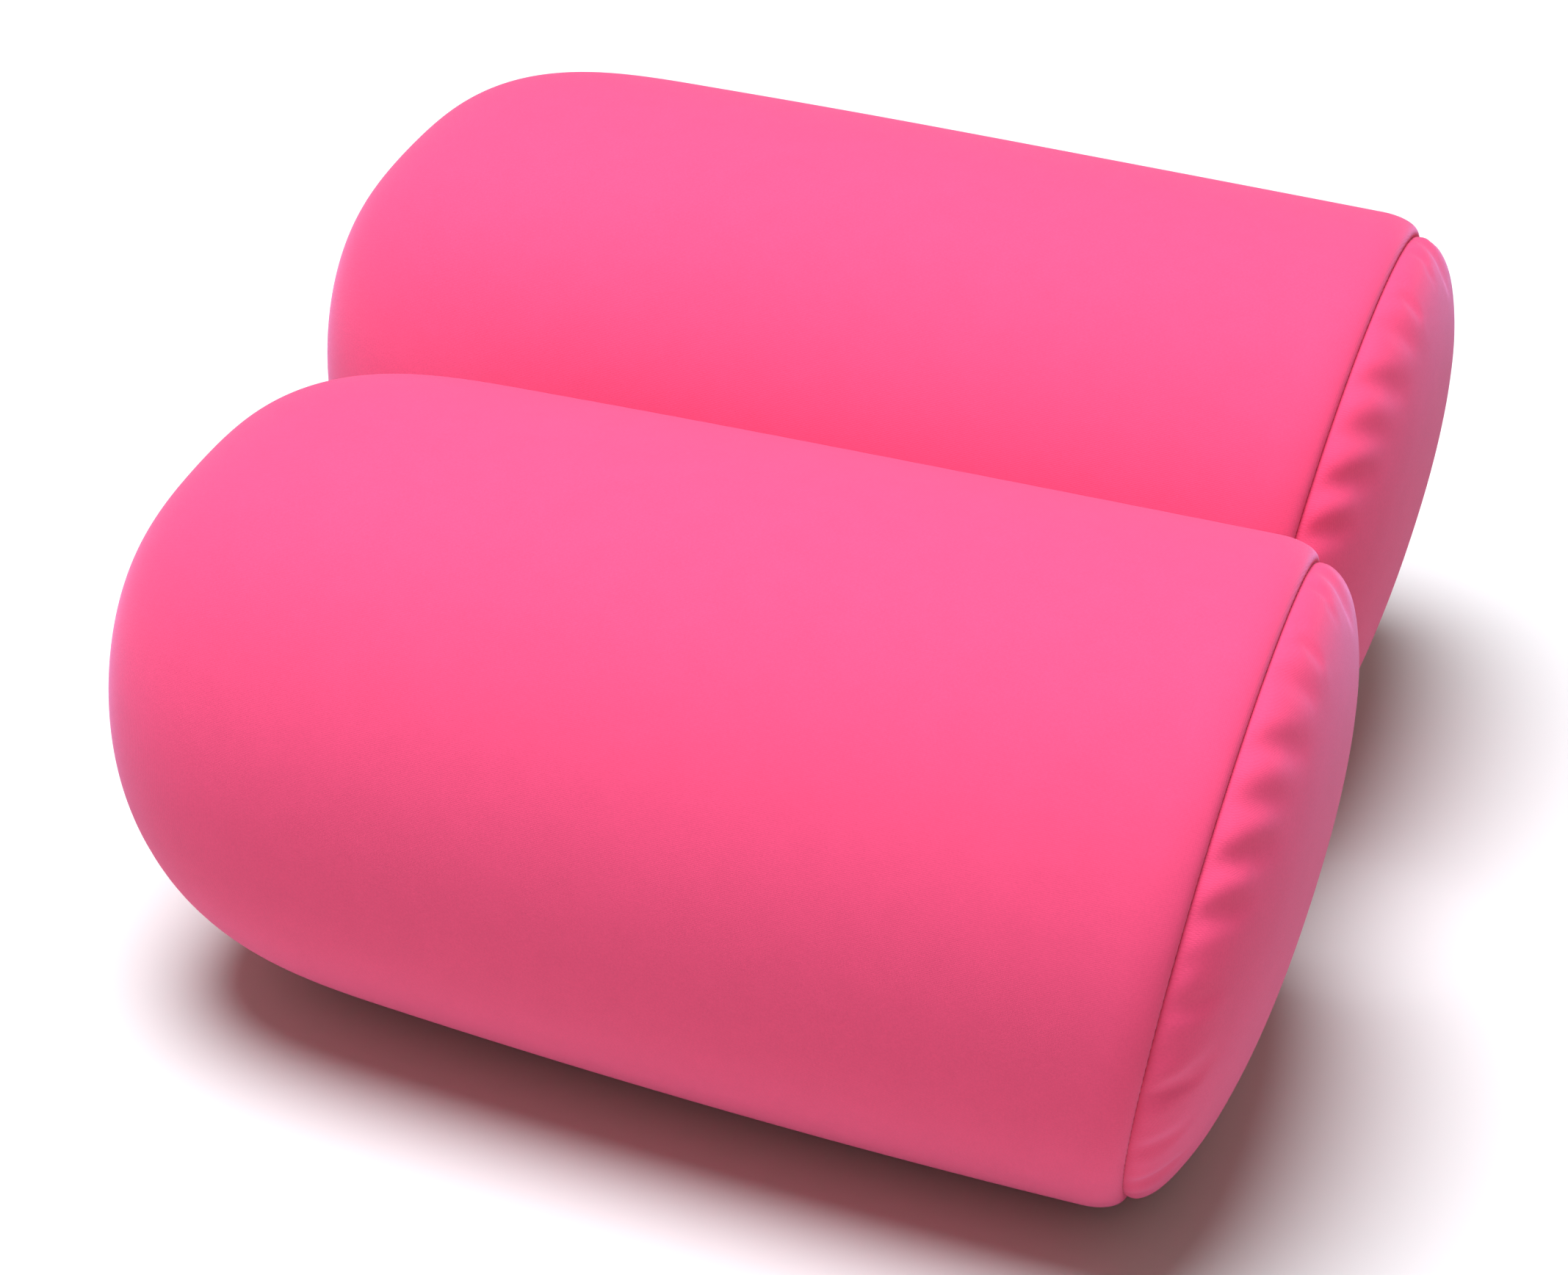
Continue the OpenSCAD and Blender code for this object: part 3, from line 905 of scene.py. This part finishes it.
class Parts:
    """Vertices and faces of several closed bodies, gathered into one piece."""

    def __init__(self):
        self.vertices = []
        self.faces = []
        self.count = 0

    def add(self, vertices, faces, place=(0, 0, 0)):
        self.vertices.append(np.asarray(vertices, float).reshape(-1, 3) + place)
        self.faces += [tuple(corner + self.count for corner in face) for face in faces]
        self.count += len(self.vertices[-1])

    def tube(self, path, radius, sides=6, closed=False, up=(0, 0, 1)):
        """A thread or wire along a path, with its cross-section laid out from up."""
        path = np.asarray(path, float)
        if closed:
            run = np.roll(path, -1, 0) - np.roll(path, 1, 0)
        else:
            run = np.gradient(path, axis=0)
        run /= np.linalg.norm(run, axis=1)[:, None]
        across = np.cross(run, np.broadcast_to(np.asarray(up, float), run.shape))
        across /= np.maximum(np.linalg.norm(across, axis=1), 1e-9)[:, None]
        above = np.cross(across, run)
        turn = np.arange(sides) * 2 * math.pi / sides
        ring = across[:, None] * np.cos(turn)[:, None] + above[:, None] * np.sin(turn)[:, None]
        radius = np.broadcast_to(radius, len(path))[:, None, None]
        points = path[:, None] + ring * radius
        faces = grid_faces(len(path), sides, wrap=True)
        if closed:
            last = (len(path) - 1) * sides
            faces += [(last + i, last + (i + 1) % sides, (i + 1) % sides, i) for i in range(sides)]
        else:
            faces.append(tuple(range(sides))[::-1])
            faces.append(tuple((len(path) - 1) * sides + i for i in range(sides)))
        self.add(points, flipped(faces))

    def stitches(self, line, normals, length=STITCH_L, gap=STITCH_GAP):
        """Short threads end to end along a line, each dipping into the cloth at its ends."""
        line, normals = np.asarray(line, float), np.asarray(normals, float)
        s = arc_from_start(line)
        starts = np.arange(gap, s[-1] - length, length + gap)
        for start in starts:
            at = start + length * np.array([0, 0.12, 0.35, 0.65, 0.88, 1])
            path, out = read_off(at, s, line), read_off(at, s, normals)
            lift = np.array([-1.0, 0.1, 0.7, 0.7, 0.1, -1.0])[:, None] * THREAD_R
            self.tube(path + out * lift, THREAD_R * np.array([0.6, 1, 1, 1, 1, 0.6]), up=out.mean(0))

    def pair(self, low, high, edge):
        """Two rounded blocks, one on each side of the zip."""
        for across in (-1, 1):
            y = sorted((across * low[1], across * high[1]))
            self.add(*block((low[0], y[0], low[2]), (high[0], y[1], high[2]), edge))

    def piece(self, side, name, frames, *rest, **more):
        """Makes the piece, with what new_piece takes after its faces."""
        return new_piece(side, name, frames, np.concatenate(self.vertices), self.faces, *rest, **more)


def seam_line(side, end_name, inset):
    """The end seam's line round the bolster, and the way out of the valley at each point."""
    angles = ring_angles(720, 1)
    if end_name == "left":
        points, normals = on_rounding(seam_distance(angles))
        push = -left_groove(np.zeros((1, 1)), angles)
    else:
        points = pulled_in(np.array([[SEAM_X, SEAM_R]]), np.zeros(1))
        normals = np.array([[0.5, math.sqrt(0.75)]])
        push = 0.0
    line = at_inset(side, points, normals, angles, inset, push)[0]
    normals = np.broadcast_to(normals.reshape(-1, 2), (len(line), 2))
    out = np.stack([normals[:, 0], normals[:, 1] * np.cos(angles[0]), normals[:, 1] * np.sin(angles[0])], 1)
    return line, out


def allowance_grid(end_name, columns, distances):
    """The tube's profile points and normals beside an end seam, at distances from it, running to +X."""
    angles = ring_angles(columns, len(distances))
    if end_name == "left":
        points, normals = on_rounding(seam_distance(angles) - distances[::-1, None])
        return points, normals, angles
    tube = profile(middle_rows(1 * MM), shoulder_rows(40))
    length = arc_from_start(tube[0])
    return *(read_off(-distances, length - length[-1], part) for part in tube), angles


def end_seam(side, end_name):
    """Two plies of allowance inside an end seam, their overlocked edge, and the stitches in the valley."""
    end = ENDS[end_name]
    parts = Parts()
    points, normals, angles = allowance_grid(end_name, 192, np.linspace(ALLOWANCE_W, 0.5 * MM, 8))
    for ply in END_PLIES:
        grids = [at_inset(side, points, normals, angles, inset) for inset in ply]
        parts.add(*shell(*grids, wrap=True))
    steps = 4 * round(2 * math.pi * TUBE_R / OVERLOCK_STEP)
    turn = np.arange(steps) * math.pi / 2
    points, normals, angles = allowance_grid(end_name, steps, np.array([ALLOWANCE_W]))
    inset = OVERLOCK_MIDDLE + OVERLOCK_HALF_H * np.sin(turn)[None, :]
    loop = at_inset(side, points, normals, angles, inset)[0]
    loop[:, 0] += end * OVERLOCK_REACH * (1 - np.cos(turn)) / 2
    parts.tube(loop, 0.12 * MM, sides=5, closed=True)
    parts.stitches(*seam_line(side, end_name, 0.1 * MM))
    parts.piece(side, f"seam_{end_name}", FRAMES, thread, "seam_thread", f"end_seam_{end_name}")


def closing_seam(side):
    """The lengthwise seam at both ends of the zip: two plies of allowance and its stitches."""
    parts = Parts()
    left_end = seam_distance(np.array([ZIP_ANGLE]))[0] - 3 * MM
    left = on_rounding(np.linspace(left_end, 0, 24))
    right = profile(middle_rows(2 * MM), shoulder_rows(20))
    for rows, normals in (left, right):
        past_zip = (np.abs(rows[:, 0]) > TAPE_END + 1 * MM) & (rows[:, 0] < HALF - 4 * MM)
        rows, normals = rows[past_zip], normals[past_zip]
        for ply in CLOSING_PLIES:
            angles = ZIP_ANGLE - np.linspace(*ply, 9) / TUBE_R
            grids = [at_inset(side, rows, normals, angles, inset) for inset in (1.15 * MM, 1.75 * MM)]
            parts.add(*shell(*grids, turned=True))
        middle = at_inset(side, rows, normals, np.array([ZIP_ANGLE]), 1.0 * MM)[:, 0]
        up = np.array([0, math.cos(ZIP_ANGLE), math.sin(ZIP_ANGLE)])
        parts.stitches(middle, np.broadcast_to(up, middle.shape))
    parts.piece(side, "long_seam", FRAMES, thread, "seam_thread", "closing_seam")


# ---- The zip

COIL_PITCH = 1.3 * MM
WIRE_R = 0.27 * MM
STITCH_SUNK = 0.2 * MM
TACK_SUNK = 0.12 * MM
TACK_ROWS = 5
TACK_STEP = 0.42 * MM


def topstitching(side):
    """Two rows of stitches that hold the hemmed lips to the tapes, joined by a bar tack at each end."""
    parts = Parts()
    reach = OPENING_END + 2.5 * MM
    top = HEM_TOP - STITCH_SUNK
    for across in (-1, 1):
        turn = across * STITCH_LINE / HEM_TOP
        out = np.array([0, math.sin(turn), math.cos(turn)])
        line = np.linspace((-reach, 0, 0), (reach, 0, 0), 60) + out * top
        parts.stitches(line, np.broadcast_to(out, line.shape))
    for end in (-1, 1):
        for offset in np.arange(TACK_ROWS) * TACK_STEP:
            turn = np.linspace(-STITCH_LINE, STITCH_LINE, 12) / HEM_TOP
            out = np.stack([np.zeros(12), np.sin(turn), np.cos(turn)], 1)
            line = out * (HEM_TOP - TACK_SUNK)
            line[:, 0] = end * (reach - offset)
            parts.stitches(line, out, STITCH_LINE * 0.66, 0.05 * MM)
    parts.piece(side, "zip_stitching", ZIP_FRAMES, thread, "seam_thread")


def squared(wave, power):
    """A wave from -1 to 1, made squarer."""
    return np.sign(wave) * np.abs(wave) ** power


def coil(side, row, across):
    """One row of nylon coil, sewn to its tape: a flattened helix with a cord through it."""
    parts = Parts()
    inner, outer = coil_low[1] - 0.2 * MM, coil_high[1]
    middle, half_w = (inner + outer) / 2, (outer - inner) / 2 - WIRE_R
    half_h = (COIL_TOP - TAPE_TOP) / 2 - WIRE_R
    turns = int(2 * coil_high[0] / COIL_PITCH)
    steps = 14
    turn = np.arange(turns * steps + 1) * 2 * math.pi / steps
    path = np.stack([
        (turn / (2 * math.pi) - turns / 2) * COIL_PITCH,
        across * (middle + half_w * squared(np.cos(turn), 0.7)),
        TAPE_TOP + WIRE_R + half_h * (1 + squared(np.sin(turn), 0.8)),
    ], 1)
    path[:, 0] += (0.25 if across > 0 else -0.25) * COIL_PITCH
    parts.tube(path, WIRE_R, sides=6)
    cord = [(end * coil_high[0] * 0.99, across * middle, TAPE_TOP + WIRE_R + half_h) for end in (-1, 0, 1)]
    parts.tube(cord, half_h * 0.8, sides=8)
    parts.piece(side, f"coil_{row}", ZIP_FRAMES, nylon, "zip_coil", f"zip_coil_{row}")


def taken(mesh):
    """The vertices and faces of a bmesh, which is freed."""
    mesh.verts.index_update()
    vertices = [tuple(vertex.co) for vertex in mesh.verts]
    faces = [tuple(vertex.index for vertex in face.verts) for face in mesh.faces]
    mesh.free()
    return vertices, faces


def block(low, high, edge):
    """The vertices and faces of a box with rounded edges."""
    mesh = bmesh.new()
    bmesh.ops.create_cube(mesh, size=1)
    low, high = np.asarray(low, float), np.asarray(high, float)
    for vertex in mesh.verts:
        vertex.co = Vector((low + high) / 2 + np.array(vertex.co) * (high - low))
    bmesh.ops.bevel(mesh, geom=mesh.edges[:], offset=edge, segments=3, profile=0.5, affect="EDGES")
    return taken(mesh)


def plate(loops, thickness, edge):
    """The vertices and faces of a flat plate with rounded edges, from its outline and any holes."""
    outline = bpy.data.curves.new("outline", "CURVE")
    outline.dimensions = "2D"
    outline.fill_mode = "BOTH"
    outline.extrude = thickness / 2 - edge
    outline.bevel_depth = edge
    outline.bevel_resolution = 2
    outline.offset = -edge
    for loop in loops:
        spline = outline.splines.new("POLY")
        spline.points.add(len(loop) - 1)
        for point, (x, y) in zip(spline.points, loop):
            point.co = (x, y, 0, 1)
        spline.use_cyclic_u = True
    holder = placed("outline", outline)
    bpy.context.view_layer.update()
    made = bpy.data.meshes.new_from_object(holder.evaluated_get(bpy.context.evaluated_depsgraph_get()))
    mesh = bmesh.new()
    mesh.from_mesh(made)
    bmesh.ops.remove_doubles(mesh, verts=mesh.verts[:], dist=1e-6)
    bmesh.ops.recalc_face_normals(mesh, faces=mesh.faces[:])
    bpy.data.objects.remove(holder)
    bpy.data.curves.remove(outline)
    bpy.data.meshes.remove(made)
    return taken(mesh)


def hole(radius, x, steps):
    """The outline of a round hole, run the opposite way to a plate's."""
    return [(x + radius * math.cos(t), -radius * math.sin(t)) for t in np.arange(steps) * 2 * math.pi / steps]


def stops(side):
    """Crimped metal stops: two at the closed end, one across both rows at the other end."""
    parts = Parts()
    inner, outer = coil_low[1], coil_high[1]
    top = stop_high[2]
    length = STOP_END - coil_high[0] - 0.2 * MM
    parts.pair((STOP_END - length, inner, TAPE_TOP), (STOP_END, outer, top), 0.35 * MM)
    parts.add(*block((-STOP_END, -outer, TAPE_TOP), (length - STOP_END, outer, top), 0.4 * MM))
    ridge_x, ridge_half_l, ridge_half_w = length / 2 - STOP_END, 0.25 * MM, outer - 0.3 * MM
    ridge_low = (ridge_x - ridge_half_l, -ridge_half_w, top - 0.1 * MM)
    ridge_high = (ridge_x + ridge_half_l, ridge_half_w, top + 0.12 * MM)
    parts.add(*block(ridge_low, ridge_high, 0.1 * MM))
    parts.piece(side, "stops", ZIP_FRAMES, nickel, "zip_metal", "zip_stops")


PLATE_T = 0.75 * MM
LUG_R = pull_high[2] - PIVOT_H + 0.55 * MM
PIN_R = 0.55 * MM
LUG_HALF = 1.0 * MM


def slider(side):
    """The slider: two shaped plates joined by a post, walls beside the coil and an arched lug."""
    parts = Parts()
    middle = (slider_low[0] + slider_high[0]) / 2
    half_l, half_w = (slider_high[0] - slider_low[0]) / 2, slider_high[1]
    top = PIVOT_H - 1.2 * MM

    def outline(narrow):
        half = [
            (-1, 0), (-1, 0.8), (-0.86, 0.92), (-0.3, 0.93), (0.25, 1),
            (0.7, 1), (0.93, 0.86), (1, 0.5), (0.9, 0),
        ]
        scaled = [(middle + half_l * x * (1 - narrow), half_w * y * (1 - narrow)) for x, y in half]
        return [(x, -y) for x, y in scaled[1:-1]] + [(x, y) for x, y in scaled[::-1]]

    for low, narrow in ((top - PLATE_T, 0.0), (slider_low[2], 0.02)):
        parts.add(*plate([outline(narrow)[::-1]], PLATE_T, 0.2 * MM), (0, 0, low + PLATE_T / 2))
    wall_inner = coil_high[1] + 0.25 * MM
    wall_low = (middle - half_l * 0.92, wall_inner, TAPE_TOP + 0.25 * MM)
    parts.pair(wall_low, (middle + half_l * 0.8, half_w * 0.985, top - 0.2 * MM), 0.15 * MM)
    post = (middle + half_l - 3 * MM, -0.3 * MM, slider_low[2] + 0.3 * MM)
    parts.add(*block(post, (middle + half_l - 0.6 * MM, 0.3 * MM, top - 0.3 * MM), 0.1 * MM))
    foot = top - PIVOT_H - 0.1 * MM
    arch = [(-LUG_R - 0.9 * MM, foot), (LUG_R + 0.9 * MM, foot), (LUG_R + 0.2 * MM, -0.55 * MM)]
    arch += [(LUG_R * math.cos(t), LUG_R * math.sin(t)) for t in np.radians(np.linspace(0, 180, 17))]
    arch += [(-LUG_R - 0.2 * MM, -0.55 * MM)]
    vertices, faces = plate([arch, hole(PIN_R + 0.09 * MM, 0.0, 24)], 2 * LUG_HALF, 0.2 * MM)
    parts.add(np.array(vertices)[:, [0, 2, 1]] * (1, -1, 1), faces, (middle, 0, PIVOT_H))
    parts.piece(side, "slider_body", ZIP_FRAMES, nickel, "zip_metal", "zip_slider", rides="slider")


def pull(side):
    """The pull tab: a fork round the lug on its pin, a waisted blade with a raised rim, and a hole."""
    parts = Parts()
    half_w = pull_high[1]
    length = PIVOT_X - pull_low[0]
    thickness = pull_high[2] - pull_low[2]
    arm = 1.15 * MM
    fork = 4.5 * MM
    end_x = half_w - length
    waist = half_w * 0.78

    def side_line(inset):
        bend = np.linspace(0, 1, 15)
        x = -fork - (length - fork - half_w) * bend
        y = half_w - (half_w - waist) * np.sin(math.pi * bend) ** 1.5
        return [(u, v - inset) for u, v in zip(x, y)]

    def round_end(inset):
        return [
            (end_x - (half_w - inset) * math.sin(t), (half_w - inset) * math.cos(t))
            for t in np.radians(np.linspace(10, 170, 17))
        ]

    def mirrored(line):
        return [(x, -y) for x, y in line[::-1]]

    def tongue(inset, clear):
        """The blade's outline, drawn in by an inset, and clear of the fork."""
        line = [point for point in side_line(inset) if point[0] < -fork - clear]
        return line + round_end(inset) + mirrored(line)

    arm_end = PIN_R * 1.6
    arm_y = half_w - arm
    arm_inside = [(-fork + 0.3 * MM, arm_y - 0.5 * MM), (-fork + 1.2 * MM, arm_y), (arm_end, arm_y)]
    notch = mirrored(arm_inside) + [(-fork, 0)] + arm_inside
    rim = notch + [(arm_end, half_w)] + tongue(0, -1 * MM) + [(arm_end, -half_w)]
    parts.add(*plate([rim, tongue(0.8 * MM, 1.6 * MM)[::-1]], thickness, 0.22 * MM))
    blade = [tongue(0.6 * MM, 1.2 * MM), hole(1.3 * MM, end_x, 32)]
    parts.add(*plate(blade, thickness * 0.62, 0.1 * MM))
    pin = [(0, y, 0) for y in np.linspace(-half_w + 0.2 * MM, half_w - 0.2 * MM, 6)]
    parts.tube(pin, PIN_R, sides=20)
    parts.vertices = [points + (PIVOT_X, 0, PIVOT_H) for points in parts.vertices]
    parts.piece(side, "pull_tab", ZIP_FRAMES, nickel, "zip_metal", "zip_pull", rides="pull")


def dress_tapes(side):
    """The tapes are flat strips, so the CAD ones stay, in woven cloth."""
    for row in ("upper", "lower"):
        node = frame["nodes"][f"{side}_zip_tape_{row}"]
        node.data.materials.clear()
        node.data.materials.append(tape.material)


# ---- The blank label in the left end seam

LABEL_T = 0.16 * MM
LABEL_GAP = 0.3 * MM
LABEL_LIFT = 2.2 * MM
LABEL_CUP = 0.5 * MM
FOLD_GAP = 0.35 * MM
FOLD_SWELL = 0.8 * MM


def label(side):
    """A folded strip of satin that follows the end panel, square to its seam, and stands off at its fold."""
    length = label_high[2] - label_low[2]
    half_w = (label_high[1] - label_low[1]) / 2
    along = np.linspace(0, length, 26)[:, None]
    across = np.linspace(-half_w, half_w, 17)[None, :]
    beside = seam_distance(np.array([ZIP_ANGLE - 0.01, ZIP_ANGLE + 0.01]))
    slope = (beside[1] - beside[0]) / (0.02 * SEAM_R)
    run = math.hypot(1, slope)
    seam_angles = ZIP_ANGLE - across / run / SEAM_R
    points, normals = on_rounding(seam_distance(seam_angles) + along / run)
    angles = seam_angles - slope * along / run / points[..., 1]
    share = along / length
    gap = LABEL_GAP + LABEL_LIFT * share ** 2 + LABEL_CUP * share * (across / half_w) ** 2
    fold_gap = gap + FOLD_GAP + FOLD_SWELL * np.sin(math.pi * np.clip(share, 0, 1)) ** 0.5
    heights = (gap, gap + LABEL_T, fold_gap, fold_gap + LABEL_T)
    grids = [at_inset(side, points, normals, angles, -height) for height in heights]
    lower, lower_top, upper, upper_top = grids
    outside, inside = np.concatenate([lower, upper_top[::-1]]), np.concatenate([lower_top, upper[::-1]])
    skin = shell(outside, inside, turned=True)
    new_piece(side, "label", FRAMES, *skin, satin, "label_satin", "care_label")


for side in BOLSTERS:
    liner(side)
    fill(side)
    for end_name in ENDS:
        end_seam(side, end_name)
    closing_seam(side)
    topstitching(side)
    for row, across in (("upper", -1), ("lower", 1)):
        coil(side, row, across)
    stops(side)
    slider(side)
    pull(side)
    dress_tapes(side)
    label(side)

# ---- Floor, light and camera

scene = bpy.context.scene
scene.view_settings.view_transform = "Standard"


def floor():
    """A wide plain floor, pale against the pink."""
    reach = 4.0
    corners = [(-reach, -reach, 0), (reach, -reach, 0), (reach, reach, 0), (-reach, reach, 0)]
    mesh = bpy.data.meshes.new("floor")
    mesh.from_pydata(corners, [], [(0, 1, 2, 3)])
    mesh.materials.append(Shader("pale_floor", (0.72, 0.76, 0.66), 0.9).material)
    piece = placed("floor", mesh)


def light():
    """One broad cool light high over the left, in a faint glow from all round."""
    overhead = bpy.data.lights.new("overhead", "AREA")
    overhead.shape = "DISK"
    overhead.size = 2.0
    overhead.energy = 180
    overhead.color = (0.86, 0.83, 1.0)
    lamp = placed("overhead", overhead)
    place = Vector((-0.36, -0.30, 3.0))
    lamp.location = place
    lamp.rotation_euler = (-place).to_track_quat("-Z", "Y").to_euler()
    world = bpy.data.worlds.new("studio")
    scene.world = world
    world.use_nodes = True
    glow = world.node_tree.nodes["Background"]
    glow.inputs["Color"].default_value = (1.0, 0.98, 1.0, 1)
    glow.inputs["Strength"].default_value = 0.20


def camera():
    """Seen from in front, a little to the right and well above, through a long lens."""
    azimuth, elevation, roll = math.radians(19.66), math.radians(33.48), math.radians(2.04)
    ahead = Vector((-math.sin(azimuth), math.cos(azimuth), 0))
    forward = ahead * math.cos(elevation) - Vector((0, 0, 1)) * math.sin(elevation)
    level = Vector((math.cos(azimuth), math.sin(azimuth), 0))
    right = level * math.cos(roll) + level.cross(forward) * math.sin(roll)
    up = right.cross(forward)
    lens = bpy.data.cameras.new("camera")
    lens.sensor_width = 36
    lens.lens = 118
    lens.clip_start = 0.05
    lens.clip_end = 30
    view = placed("camera", lens)
    place = FRAMES["front"].translation + TUBE_R * Vector((4.34, -11.89, 8.846))
    view.matrix_world = Matrix.Translation(place) @ Matrix((right, up, -forward)).transposed().to_4x4()
    scene.camera = view


floor()
light()
camera()

bpy.context.view_layer.update()
